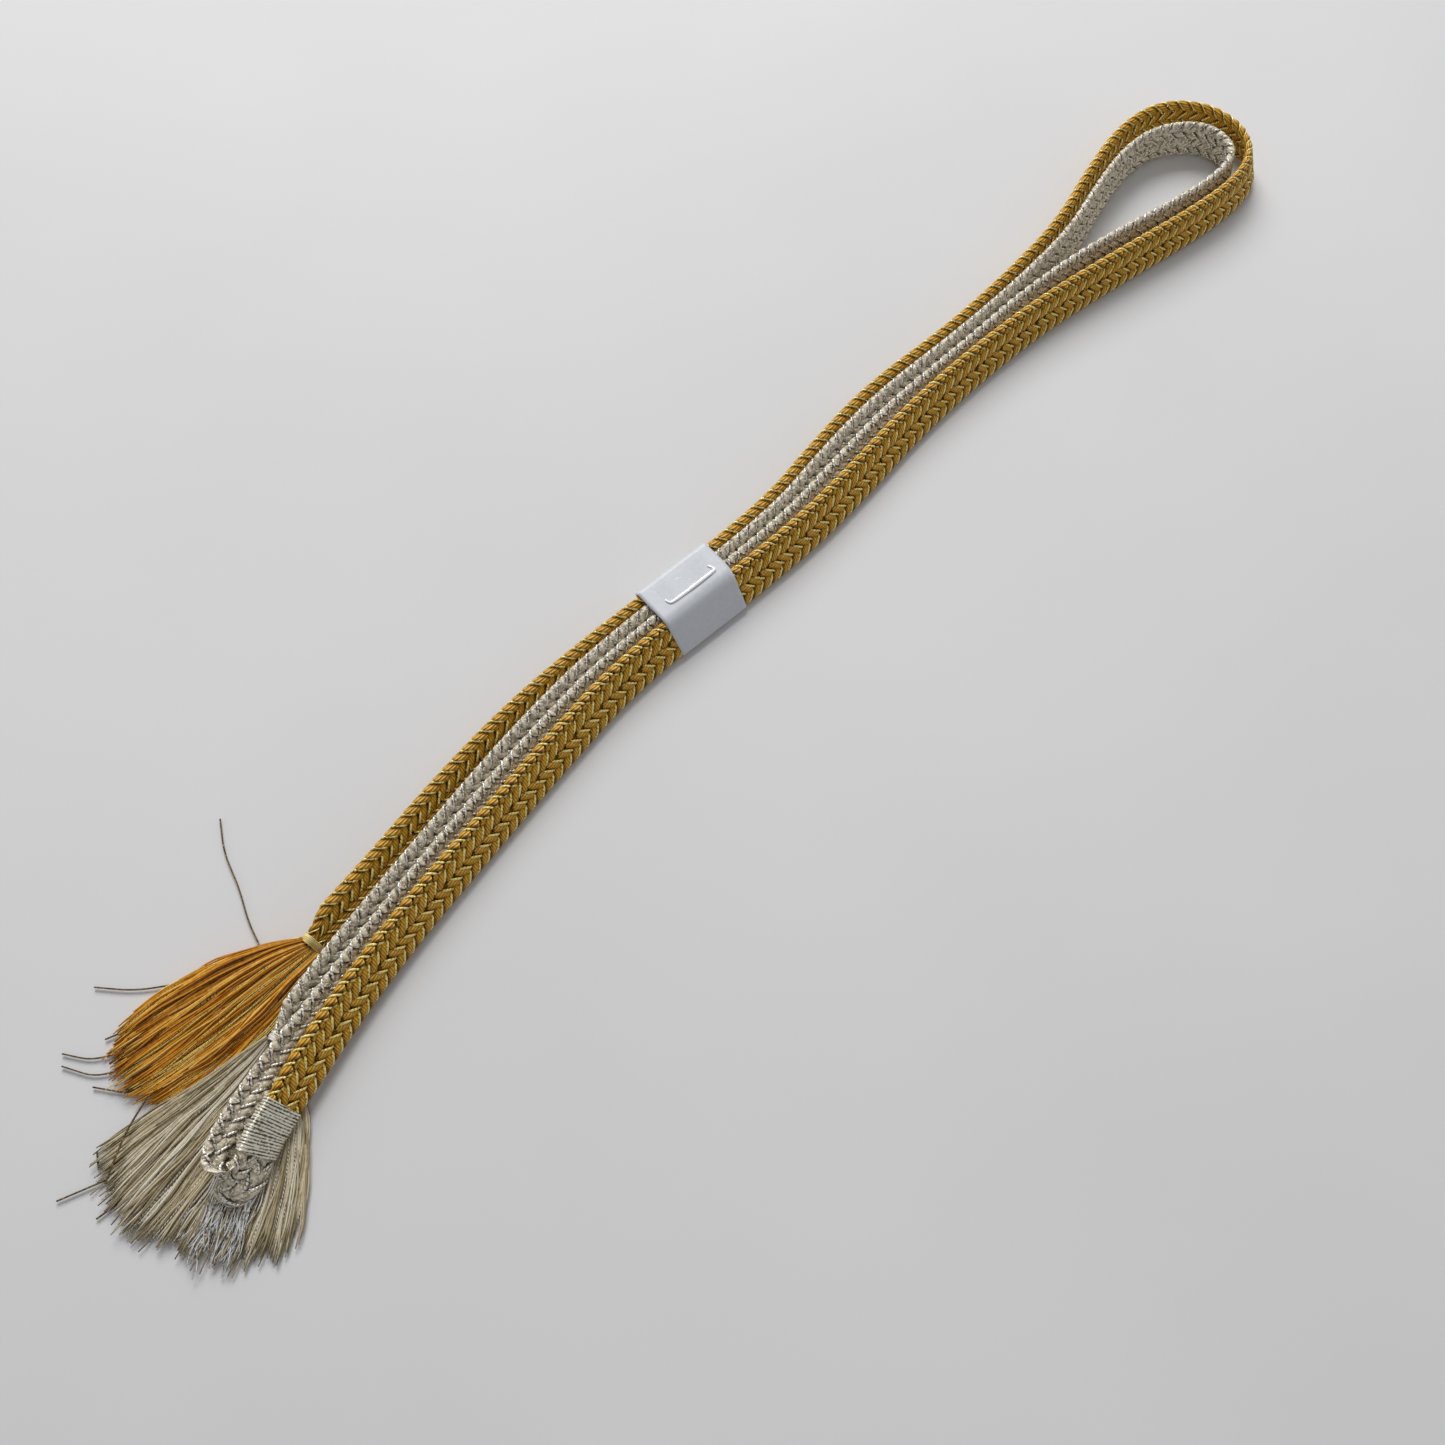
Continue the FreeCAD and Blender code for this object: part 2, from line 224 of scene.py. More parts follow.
class Ribbon:
    """The flat cord's line with its width and face directions.

    The leaning direction is (tilt, cosine of the lean, sine of the lean), and the width direction
    is that less its share along the line. So the ribbon leans on its straight legs and stands up
    where it turns back. The lean changes with X on each half and, past the joint, with the
    distance from it, which lays the returning leg of the tied fold flatter.
    """

    def __init__(self, halves):
        """halves: the lines of the two halves, each with its lean."""
        lines, leans = [], []
        for line, lean in halves:
            places, degrees = zip(*lean)
            lines.append(line)
            leans.append(np.interp(line[:, 0], np.array(places) * MM, degrees))
        self.joint = distances(lines[0])[-1]
        self.line = np.concatenate([lines[0], lines[1][1:]])
        places, amounts = zip(*FOLD_TILT)
        tilt = np.interp(self.line[:, 0], np.array(places) * MM, amounts)
        self.s = distances(self.line)
        after, change = zip(*FOLD_LEAN)
        change = np.interp(self.s - self.joint, np.array(after) * MM, change)
        lean = np.radians(np.concatenate([leans[0], leans[1][1:]]) + change)
        self.length = self.s[-1]
        along = unit(np.gradient(self.line, self.s, axis=0))
        leaning = np.stack([tilt, np.cos(lean), np.sin(lean)], -1)
        self.width = unit(leaning - along * (leaning * along).sum(-1, keepdims=True))
        self.face = np.cross(along, self.width)
        grips = [[0], TIE_GRIP, self.joint + WHIP_GRIP, self.length - TIE_GRIP[::-1], [self.length]]
        self.grip = np.concatenate(grips)
        self.squeeze = [TIE_SQUEEZE, TIE_SQUEEZE, 1, 1, WHIP_SQUEEZE,
                        WHIP_SQUEEZE, 1, 1, TIE_SQUEEZE, TIE_SQUEEZE]

    def at(self, values, s):
        """Vector values of the ribbon, read at distances s."""
        return np.stack([np.interp(s, self.s, values[:, k]) for k in range(3)], -1)

    def place(self, s, u, d):
        """Points at distance s along, u across and d out of the face."""
        return (self.at(self.line, s) + np.asarray(u)[..., None] * self.at(self.width, s)
                + np.asarray(d)[..., None] * self.at(self.face, s))


# ---------------------------------------------------------------- the braid

# Where a strand changes face, in parts of its period: over two strands, then under two. A change
# takes a short ramp to each side, and a turn round an edge of the cord a longer one
PERIOD_PARTS = 28
WEAVE_CHANGES = np.array([0, 3.4, 7, 10.6, 14, 17.4, 21, 24.6]) / PERIOD_PARTS
WEAVE_RAMP = 0.8 / PERIOD_PARTS
EDGE_RAMP = 2.0 / PERIOD_PARTS

# How sharp the turn at an edge of the cord is, from a cosine wave near 0 to a corner at 1
EDGE_SHARPNESS = 0.985


def weave_side(phase):
    """Face that a strand lies on, 1 at the front and -1 at the back, with rounded changes."""
    turn = np.mod(phase + EDGE_RAMP, 1) - EDGE_RAMP
    knots, values = [], []
    for order, change in enumerate(np.append(WEAVE_CHANGES, 1.0)):
        after = 1.0 if order % 2 == 0 else -1.0
        ramp = EDGE_RAMP if order % 4 == 0 else WEAVE_RAMP
        knots += [change - ramp, change + ramp]
        values += [-after, after]
    return np.sin(np.interp(turn, knots, values) * math.pi / 2)


def weave_across(phase):
    """Place across the width, 1 at the top edge: a triangle wave with rounded peaks."""
    return np.arcsin(EDGE_SHARPNESS * np.cos(2 * math.pi * phase)) / math.asin(EDGE_SHARPNESS)


def edge_angle(phase, side):
    """Turn of a strand about its own line as it rolls round an edge of the braid.

    The top edge is at whole phases and the bottom edge at half phases. The turn is the arc
    cosine of the side at the top, half a turn less that at the bottom, and steady between them.
    """
    turn = np.mod(phase + 0.25, 1) - 0.25
    angle = np.where(turn > 0.5, math.pi, 0.0)
    rolled = np.arccos(np.clip(side, -1, 1))
    angle = np.where(np.abs(turn) < EDGE_RAMP, rolled, angle)
    return np.where(np.abs(turn - 0.5) < EDGE_RAMP, math.pi - rolled, angle)


def edge_share(phase):
    """1 while a strand is within its turn round an edge, which comes twice in a period, else 0."""
    turn = np.mod(phase * 2 + 0.5, 1) - 0.5
    return (np.abs(turn) < 2 * EDGE_RAMP).astype(float)


def strand_tubes(ribbon, span, rings, sides, shift, half_width, half_thickness, lift, facing):
    """The seven strands between two distances, as rings in space, and the painted shade of each
    side.

    A strand's line is (s, reach x triangle wave, depth x side), and rings stand closer where it
    turns round an edge. Its section is an ellipse, flat to the braid's face and rolled over at the
    edges: its normal is (0, sine of the roll, cosine of the roll) less its share along the line.
    In the ties and the whipping, reach and width are squeezed. The lift raises a metallic thread.
    """
    number = (np.arange(STRANDS)[:, None] + shift) / STRANDS
    steps = np.linspace(*span, int((span[1] - span[0]) / PERIOD * rings))[None, :] / PERIOD + number
    phase = steps - EDGE_CROWDING * np.sin(4 * math.pi * steps) / (4 * math.pi)
    s = (phase - number) * PERIOD
    side = weave_side(phase)
    across = weave_across(phase)
    narrow = np.interp(s, ribbon.grip, ribbon.squeeze)
    rolling = edge_share(phase) * np.sqrt(np.clip(1 - side ** 2, 0, 1)) * np.sign(across)
    line = np.stack([s, (WEAVE_REACH * across + lift * rolling) * narrow,
                     (WEAVE_DEPTH + lift) * side], -1)
    along = unit(np.gradient(line, axis=1))
    roll = edge_angle(phase, side)
    normal = np.stack([np.zeros_like(roll), np.sin(roll), np.cos(roll)], -1)
    normal = unit(normal - along * (normal * along).sum(-1, keepdims=True))
    flat = np.cross(along, normal)
    angle = (np.arange(sides) + 0.5) * (2 * math.pi / sides)
    wide = (np.cos(angle) * half_width)[:, None] * narrow[:, :, None, None]
    thick = (np.sin(angle) * half_thickness)[:, None]
    flats = line[:, :, None] + flat[:, :, None] * wide + normal[:, :, None] * thick
    # Painted shade: 1 on a strand's flat faces and 0 at its edges, which darkens the creases between
    # strands
    crown = np.abs(np.sin(angle))
    return ribbon.place(flats[..., 0], flats[..., 1], facing * flats[..., 2]), crown


def braid_half(ribbon, name, metal_name, span, facing):
    """One colour of the braid: its yarn strands, and the metallic thread beside each strand.

    The braid turns over inside the whipping, so the second half faces the other way.
    """
    yarn = strand_tubes(ribbon, span, YARN_RINGS, YARN_SIDES, 0, STRAND_HALF_WIDTH,
                        STRAND_HALF_THICKNESS, 0.0, facing)
    metal = strand_tubes(ribbon, span, METAL_RINGS, METAL_SIDES, METAL_SHIFT, METAL_RADIUS,
                         METAL_RADIUS, METAL_LIFT, facing)
    return tubes(name, *yarn), tubes(metal_name, *metal)


# ---------------------------------------------------------------- windings

WINDING_RINGS, WINDING_SIDES = 48, 6
WINDING_WANDER = 0.05 * MM
WINDING_SQUARENESS = 0.62
WINDING_HALF_THICKNESS = 1.7 * MM
TIE_HALF_WIDTH = 2.9 * MM
TIE_TURNS = 5


def winding(ribbon, name, start, end, turns, radius, half_width):
    """Thread wound close round the ribbon: a helix on a flattened round section.

    The section is (cosine, sine) of the angle, each raised to a power under 1, which squares it.
    Each turn wanders a little along the cord and has its own shade.
    """
    steps = turns * WINDING_RINGS
    angle = np.linspace(0, turns * 2 * math.pi, steps)
    s = np.linspace(start, end, steps)
    wave = random.normal(0, WINDING_WANDER, turns + 2)
    s = s + np.interp(angle / (2 * math.pi), np.arange(turns + 2), wave)
    u = np.sign(np.cos(angle)) * np.abs(np.cos(angle)) ** WINDING_SQUARENESS * half_width
    d = np.sign(np.sin(angle)) * np.abs(np.sin(angle)) ** WINDING_SQUARENESS
    line = ribbon.place(s, u, d * WINDING_HALF_THICKNESS)[None]
    up = ribbon.at(unit(np.gradient(ribbon.line, axis=0)), s)[None]
    shade = np.interp(angle / (2 * math.pi), np.arange(turns + 1), random.uniform(0, 1, turns + 1))
    return tubes(name, tube_rings(line, radius, WINDING_SIDES, up), shade[None, :, None])


# ---------------------------------------------------------------- tassels

def across_row(row, places):
    """Points of one row across a tassel, at places from 0 to 1."""
    row = np.array(row, dtype=float)
    knots = np.linspace(0, 1, len(row))
    return np.stack([np.interp(places, knots, row[:, k]) for k in range(row.shape[1])], -1)


TASSEL_SIDES = 4
TASSEL_RINGS, GLITTER_RINGS = 24, 28
FLOOR_GAP = 0.05 * MM

# Share of the length past which the pile's height stays as it is
HEIGHT_HOLDS = 0.999

# Clumps: how far in its own share of the width a clump's middle may be, the most that a yarn is
# drawn to it, how far a yarn strays, and the share of the height that clump and yarn each add
CLUMP_MIDDLE = (0.25, 0.75)
CLUMP_PULL = 0.6
YARN_STRAY = 0.012
CLUMP_LAYER, YARN_LAYER = 0.45, 0.6

# Cut ends, as shares of the length: the spread of single yarns and the most a clump is cut back
YARN_END_SPREAD, CLUMP_CUT_BACK = 0.035, 0.06

# Waves in millimetres and in radians for the yarn's length: the clump's sway, and the yarn's own
# slow drift and fine ripple. Those two are scaled by a random size, and the drift by how far that
# is from its middle, which sends yarns both ways
SWAY, SWAY_RATE = 0.5, 6.0
DRIFT, DRIFT_RATE = 1.3, 4.5
RIPPLE, RIPPLE_RATE = 0.32, 19
WAVE_SIZES = (0.2, 1.0)
WAVE_MIDDLE = 0.6

# A yarn's thickness along it, full to near its cut end, and the spread of shades
TAPER_AT, TAPER = [0, 0.92, 1], [1, 1, 0.6]
CLUMP_SHADE, YARN_SHADE = 0.14, 0.19


def tassel_yarns(name, rows, heights, places, clumps, radius, points=TASSEL_RINGS, swing=1.0):
    """Loose yarns in clumps, from a tie out to uneven cut ends.

    Each yarn is a cubic Bezier curve between four rows of points that run across the tassel,
    carried on past its end where it is long. Its layer lifts it by a share of the tassel's
    height there, and three sine waves sway it: its clump's, and two of its own, which swing makes
    wider. The waves grow from nothing at the tie to full at half of the length.
    """
    count = len(places)
    clump = np.clip((places * clumps).astype(int), 0, clumps - 1)
    middle = (clump + random.uniform(*CLUMP_MIDDLE, clumps)[clump]) / clumps
    places = places + (middle - places) * random.uniform(0, CLUMP_PULL, count)
    places = np.clip(places + random.normal(0, YARN_STRAY, count), 0, 1)
    layer = random.uniform(0, 1, clumps)[clump] * CLUMP_LAYER
    layer = np.clip(layer + random.uniform(0, YARN_LAYER, count), 0, 1)
    ends = 1 + random.normal(0, YARN_END_SPREAD, count)
    ends = ends - random.uniform(0, CLUMP_CUT_BACK, clumps)[clump]
    t = np.linspace(0, 1, points)[None, :, None] * ends[:, None, None]
    a, b, c, e = (across_row(row, places)[:, None] * MM for row in rows)
    lines = (1 - t) ** 3 * a + 3 * (1 - t) ** 2 * t * b + 3 * (1 - t) * t ** 2 * c + t ** 3 * e
    t = t[..., 0]
    profile = across_row(np.array(heights).T, places)
    step = np.clip(t, 0, HEIGHT_HOLDS) * (profile.shape[1] - 1)
    low = step.astype(int)
    owner = np.arange(count)[:, None]
    height = profile[owner, low] * (1 - step + low) + profile[owner, low + 1] * (step - low)
    lines[..., 2] += layer[:, None] * height * MM
    shared = random.uniform(0, 2 * math.pi, (2, clumps))[:, clump]
    own = random.uniform(0, 2 * math.pi, (2, count))
    size = random.uniform(*WAVE_SIZES, (2, count))
    free = np.clip(t * 2, 0, 1)
    for axis in range(2):
        sway = SWAY * np.sin(SWAY_RATE * t + shared[axis][:, None])
        drift = DRIFT * (size[axis] - WAVE_MIDDLE)[:, None]
        drift = drift * np.sin(DRIFT_RATE * t + own[axis][:, None])
        ripple = RIPPLE * size[1 - axis][:, None]
        ripple = ripple * np.sin(RIPPLE_RATE * t + 2 * own[axis][:, None])
        lines[..., axis] += free * (sway + swing * (drift + ripple)) * MM
    lines[..., 2] = np.maximum(lines[..., 2], radius + FLOOR_GAP)
    thick = np.interp(np.linspace(0, 1, points), TAPER_AT, TAPER) * radius
    thick = np.broadcast_to(thick, (count, points))
    shade = 0.5 + random.normal(0, CLUMP_SHADE, clumps)[clump] + random.normal(0, YARN_SHADE, count)
    shade = np.clip(shade, 0, 1)[:, None, None]
    return tubes(name, tube_rings(lines, thick, TASSEL_SIDES), shade)


# ---------------------------------------------------------------- the paper band and its tape

BAND_MIDDLE = (-13.2 * MM, -2.37 * MM)
BAND_ALONG = (0.992959, -0.118458)
BAND_LENGTH = 24 * MM
BAND_HEIGHT = 10.25 * MM
BAND_WALL = 0.25 * MM

# Half width over which the wall's thickness is a share of the outline, to draw the inner skin in
BAND_HALF_WIDTH = 7.0 * MM

# Corners (across, height) in millimetres and the size of each bend, from the lower -Y corner round
BAND_CORNERS = [(-7.75, 0.0), (2.75, 0.0), (10.05, 8.9), (8.9, 10.2), (-2.9, 10.25), (-9.95, 1.55)]
BAND_RADII = [0.9, 1.2, 0.6, 0.6, 2.2, 0.6]
BAND_BEND_POINTS, BAND_OUTLINE_POINTS, BAND_ROWS = 10, 40, 25
BAND_SAME_POINT = 1e-6

# Share of half its length by which the rim towards the loop falls back on the -Y side
BAND_SKEW = 0.12

# The paper's soft waist: how deep it is, and its wave along the cords
BAND_PULL = 0.12 * MM
BAND_PULL_RATE, BAND_PULL_START = 6, 1


def band_outline(inset):
    """Closed outline (across, height) of the band, drawn tight round the leaning cords.

    Each corner is a quadratic Bezier curve between points at its radius from the corner. The
    upper corner on the -Y side is the softest. An inset draws the outline in to its middle.
    """
    corners = np.array(BAND_CORNERS) * MM
    middle = corners.mean(axis=0)
    scale = 1 - inset / np.array([BAND_HALF_WIDTH, BAND_HEIGHT / 2])
    corners = middle + (corners - middle) * scale
    radii = np.array(BAND_RADII) * MM
    before = corners + unit(np.roll(corners, 1, 0) - corners) * radii[:, None]
    after = corners + unit(np.roll(corners, -1, 0) - corners) * radii[:, None]
    t = np.linspace(0, 1, BAND_BEND_POINTS)[None, :, None]
    bends = ((1 - t) ** 2 * before[:, None] + 2 * (1 - t) * t * corners[:, None]
             + t ** 2 * after[:, None])
    ends = np.concatenate([bends.reshape(-1, 2), bends[:1, 0]])
    steps = distances(ends)
    spread = np.linspace(0, steps[-1], BAND_OUTLINE_POINTS)[1:-1]
    even = np.sort(np.concatenate([steps[:-1], spread]))
    even = even[np.concatenate([[True], np.diff(even) > BAND_SAME_POINT])]
    return np.stack([np.interp(even, steps, ends[:, k]) for k in range(2)], -1)


def band_place(across, height, along):
    """Points of the band from its own across, height and along."""
    x = BAND_MIDDLE[0] + along * BAND_ALONG[0] - across * BAND_ALONG[1]
    y = BAND_MIDDLE[1] + along * BAND_ALONG[1] + across * BAND_ALONG[0]
    return np.stack([x, y, height + np.zeros_like(x)], -1)


def paper_sleeve():
    """The band: its outline carried along the cords, with an inner skin and closed rims.

    Its upper part is drawn across and down a little by a cosine times a sine of the place along,
    which is nothing at the rims. On the -Y side the rim towards the loop falls back, by a share
    of the length that grows with the distance across.
    """
    outer, inner = band_outline(0.0), band_outline(BAND_WALL)
    inner = np.stack([np.interp(np.linspace(0, 1, len(outer)), np.linspace(0, 1, len(inner)),
                                inner[:, k]) for k in range(2)], -1)
    along = np.linspace(-0.5, 0.5, BAND_ROWS)
    wave = np.sin(BAND_PULL_RATE * along + BAND_PULL_START)
    pull = BAND_PULL * np.cos(math.pi * along) * wave
    skins = []
    for outline in (outer, inner):
        lift = np.clip(outline[:, 1] / BAND_HEIGHT, 0, 1)
        across = outline[None, :, 0] + pull[:, None] * lift
        height = outline[None, :, 1] - np.abs(pull)[:, None] * lift
        short = 1 - BAND_SKEW * np.clip(-outline[None, :, 0] / BAND_HEIGHT, 0, 1)
        reach = np.where(along[:, None] > 0, along[:, None] * short, along[:, None])
        skins.append(band_place(across, height, reach * BAND_LENGTH))
    skins[1] = skins[1][::-1]
    loops = np.concatenate([skins[0], skins[1]])
    rows, columns = loops.shape[:2]
    index = np.arange(rows * columns).reshape(rows, columns)
    after = np.roll(index, -1, axis=0)
    quads = np.stack([index, np.roll(index, -1, 1), np.roll(after, -1, 1), after], -1)
    return new_piece("paper_sleeve", loops.reshape(-1, 3), [quads.reshape(-1, 4)])


# The tape's middle and size on the band, as (along, across), and its grid of points
TAPE_MIDDLE = (0.5 * MM, 3.9 * MM)
TAPE_SIZE = (16.2 * MM, 6.5 * MM)
TAPE_GRID = (61, 41)
TAPE_LIFT = 0.07 * MM
TAPE_THICKNESS = 0.05 * MM

# Curls along the edges, in millimetres: height, half width and the edge's place in the sheet
LONG_CURL, LONG_CURL_WIDTH, LONG_CURL_PLACE = 0.12, 0.38, -0.44
END_CURL, END_CURL_WIDTH, END_CURL_PLACE = 0.2, 0.36, 0.46

# How fast the curls fade at their ends, and the place where one gives way to the other
LONG_CURL_FADE, END_CURL_FADE, CURL_CHANGE = 9, 2, 2.4

# An air bubble under the film: height in millimetres, place and half widths in shares of the sheet
BUBBLE, BUBBLE_PLACE, BUBBLE_SIZE = 0.10, (-0.18, 0.05), (0.10, 0.2)

# Wrinkles: height in millimetres, and their waves in radians for the length and the width
WRINKLE, WRINKLE_LONG, WRINKLE_SLANT, WRINKLE_WIDE, WRINKLE_START = 0.03, 17, 5, 9, 2


def tape_film():
    """The tape: a thin sheet on the band, curled along its free edges.

    Its height over the paper is the film, plus a bell curve of the distance to the long edge and
    to one end, where it has curled, a bell curve of two distances for the bubble, and a product
    of two sines for the wrinkles.
    """
    u, v = np.meshgrid(*(np.linspace(-0.5, 0.5, count) for count in TAPE_GRID), indexing="ij")
    along = TAPE_MIDDLE[0] + u * TAPE_SIZE[0]
    across = TAPE_MIDDLE[1] + v * TAPE_SIZE[1]
    long_edge = (v - LONG_CURL_PLACE) * TAPE_SIZE[1] / MM
    end_edge = (u - END_CURL_PLACE) * TAPE_SIZE[0] / MM
    near = np.clip((v + 0.5) * CURL_CHANGE, 0, 1)
    curl = LONG_CURL * np.exp(-(long_edge / LONG_CURL_WIDTH) ** 2)
    curl *= np.clip((0.5 - np.abs(u)) * LONG_CURL_FADE, 0, 1)
    end_curl = END_CURL * np.exp(-(end_edge / END_CURL_WIDTH) ** 2)
    end_curl *= np.clip((0.5 - v) * END_CURL_FADE, 0, 1) * (1 - near)
    bubble = BUBBLE * np.exp(-((u - BUBBLE_PLACE[0]) / BUBBLE_SIZE[0]) ** 2
                             - ((v - BUBBLE_PLACE[1]) / BUBBLE_SIZE[1]) ** 2)
    wrinkle = WRINKLE * np.sin(WRINKLE_LONG * u + WRINKLE_SLANT * v)
    wrinkle *= np.sin(WRINKLE_WIDE * v + WRINKLE_START)
    top = BAND_HEIGHT + TAPE_LIFT + (curl + end_curl + bubble + wrinkle) * MM
    upper = band_place(across, top, along)
    lower = upper - np.array([0, 0, TAPE_THICKNESS])
    rows, columns = u.shape
    index = np.arange(rows * columns).reshape(rows, columns)
    faces = np.stack([index[:-1, :-1], index[1:, :-1], index[1:, 1:], index[:-1, 1:]], -1)
    faces = faces.reshape(-1, 4)
    rim = np.concatenate([index[:-1, 0], index[-1, :-1], index[:0:-1, -1], index[0, :0:-1]])
    under = faces[:, ::-1] + rows * columns
    sides = np.stack([rim, rim + rows * columns, np.roll(rim, -1) + rows * columns,
                      np.roll(rim, -1)], -1)
    corners = np.concatenate([upper.reshape(-1, 3), lower.reshape(-1, 3)])
    return new_piece("tape_film", corners, [faces, under, sides])


# The bead of the tape's rolled edge: its line as (along, across) in millimetres, and its section
BEAD_LINE = [(-7.6, 2.6), (-7.3, 1.2), (-6.2, 0.8), (-1.0, 0.75), (3.5, 0.8), (7.6, 0.85),
             (8.5, 0.95), (8.4, 2.0), (7.7, 3.2)]
BEAD_LIFT = 0.14 * MM
BEAD_RADIUS = 0.55 * MM
BEAD_FLATNESS = 0.45
BEAD_SIDES = 12
BEAD_TIP = 0.15


def tape_edge():
    """The tape's rolled edge: a flattened bead that follows a smooth line over the paper.

    Its radius is the root of a sine that runs from near one tip to near the other, and its height
    is pressed down to a share of the width.
    """
    line = spline_points([(along, across, 0.0) for along, across in BEAD_LINE])
    path = band_place(line[:, 1], BAND_HEIGHT + BEAD_LIFT, line[:, 0])
    size = np.sin(np.linspace(BEAD_TIP, math.pi - BEAD_TIP, len(path))) ** 0.5 * BEAD_RADIUS
    rings = tube_rings(path[None], size[None], BEAD_SIDES)
    rings[..., 2] = path[0, 2] + (rings[..., 2] - path[0, 2]) * BEAD_FLATNESS
    return tubes("tape_curled_edge", rings)


# ---------------------------------------------------------------- materials

def linear(code):
    """Linear RGBA of an sRGB hex colour, by the standard's own curve."""
    channels = [int(code[k:k + 2], 16) / 255 for k in (1, 3, 5)]
    return [c / 12.92 if c <= 0.04045 else ((c + 0.055) / 1.055) ** 2.4 for c in channels] + [1.0]


def add(tree, kind, inputs=(), stops=(), **settings):
    """One node with its settings; an input is a value, or a (node, output) to link.

    The stops of a colour ramp are pairs of a place from 0 to 1 and an sRGB hex colour.
    """
    made = tree.nodes.new(kind)
    for order, (place, colour) in enumerate(stops):
        elements = made.color_ramp.elements
        element = elements[order] if order < 2 else elements.new(place)
        element.position = place
        element.color = linear(colour)
    for name, value in settings.items():
        setattr(made, name, value)
    for name, value in dict(inputs).items():
        if isinstance(value, tuple) and isinstance(value[0], bpy.types.Node):
            tree.links.new(value[0].outputs[value[1]], made.inputs[name])
        else:
            made.inputs[name].default_value = value
    return made


def blank(name):
    """A new material with its tree, its Principled shader and its name."""
    material = bpy.data.materials.new(name)
    material.use_nodes = True
    return material, material.node_tree, material.node_tree.nodes["Principled BSDF"]


# Depth of the finest relief, which only catches the light
RELIEF = 0.2 * MM

# Patches of dye and sparks of metal fibre to the millimetre of braid; each spark is a painted glint.
# The real fibres are finer than the render shows, so a spark is drawn about half a millimetre wide
DYE_PATCHES = 0.7 / MM
FIBRE_SPARKS = 1.9 / MM

# Turns of ply that a yarn makes in a millimetre, and crumples of foil to the millimetre
PLY_TWIST = 0.16
FOIL_CRUMPLES = 1.6 / MM

# A yarn's place on its colours is a share of the sum of the dye, the ply lines and the shade
# attribute
# The ply lines darken the grooves between plies, and on the braid the shade attribute darkens each
# strand's edges: both are painted shade
DYE_SHARE, PLY_SHARE, YARN_SUM_SHARE = 0.5, 0.6, 0.42

# Where on its noise a metal fibre's painted glint starts and is full, and how far it stands up
SPARK_STARTS, SPARK_FULL, SPARK_RELIEF = 0.52, 0.62, 2.0

# How much a foil thread's turns of painted highlight and shade, and its shade attribute, weigh
# against its crumple
TURN_SHARE, THREAD_SHADE_SHARE, FOIL_BUMP = 0.24, 0.3, 0.5


def yarn_material(name, stops, plies, roughness, sparkles=False, bump=0.35):
    """Silk yarn: plies that run along the strand, with a soft change of dye along it.

    The ply pattern is the sine of the way round the strand plus the twist times the distance
    along. The colour is read from that sine, the dye and the shade attribute: the sine darkens the
    grooves between plies with painted shade, and on the braid the attribute is painted shade at each
    strand's edges. A yarn that sparkles has small pale spots, painted glints, where metal fibres
    come up between the silk.
    """
    material, tree, shader = blank(name)
    uv = add(tree, "ShaderNodeUVMap", uv_map="UVMap")
    parts = add(tree, "ShaderNodeSeparateXYZ", {"Vector": (uv, "UV")})
    twist = add(tree, "ShaderNodeMath", {0: (parts, "Y"), 1: PLY_TWIST, 2: (parts, "X")},
                operation="MULTIPLY_ADD")
    lines = add(tree, "ShaderNodeMath", {0: (twist, "Value"), 1: 2 * math.pi * plies},
                operation="MULTIPLY")
    wave = add(tree, "ShaderNodeMath", {0: (lines, "Value")}, operation="SINE")
    height = add(tree, "ShaderNodeMath", {0: (wave, "Value"), 1: 0.5, 2: 0.5},
                 operation="MULTIPLY_ADD")
    place = add(tree, "ShaderNodeTexCoord")
    dye = add(tree, "ShaderNodeTexNoise", {"Vector": (place, "Object"), "Scale": DYE_PATCHES,
                                           "Detail": 3.0})
    # The shade attribute: painted shade on the braid's strands, dark at their edges; on the ties a
    # tone that changes at random from turn to turn
    crown = add(tree, "ShaderNodeAttribute", attribute_name="shade")
    dye_and_shade = add(tree, "ShaderNodeMath", {0: (dye, "Fac"), 1: DYE_SHARE, 2: (crown, "Fac")},
               operation="MULTIPLY_ADD")
    mixed = add(tree, "ShaderNodeMath", {0: (height, "Value"), 1: PLY_SHARE, 2: (dye_and_shade, "Value")},
                operation="MULTIPLY_ADD")
    part = add(tree, "ShaderNodeMath", {0: (mixed, "Value"), 1: YARN_SUM_SHARE},
               operation="MULTIPLY")
    colour = add(tree, "ShaderNodeValToRGB", {"Fac": (part, "Value")}, stops)
    tree.links.new(colour.outputs["Color"], shader.inputs["Base Color"])
    # Painted glints: pale spots where metal fibre comes up, mixed into the colour
    if sparkles:
        glint = add(tree, "ShaderNodeTexNoise", {"Vector": (place, "Object"), "Detail": 2.0,
                                                 "Scale": FIBRE_SPARKS})
        spark = add(tree, "ShaderNodeValToRGB", {"Fac": (glint, "Fac")},
                    [(SPARK_STARTS, "#000000"), (SPARK_FULL, "#FFFFFF")])
        bright = add(tree, "ShaderNodeMix", {"Factor": (spark, "Color"), 6: (colour, "Color"),
                                             7: linear("#FFF8E8")}, data_type="RGBA")
        tree.links.new(bright.outputs[2], shader.inputs["Base Color"])
        height = add(tree, "ShaderNodeMath", {0: (glint, "Fac"), 1: SPARK_RELIEF,
                                              2: (height, "Value")}, operation="MULTIPLY_ADD")
    relief = add(tree, "ShaderNodeBump", {"Height": (height, "Value"), "Strength": bump,
                                          "Distance": RELIEF})
    tree.links.new(relief.outputs["Normal"], shader.inputs["Normal"])
    shader.inputs["Roughness"].default_value = roughness
    return material


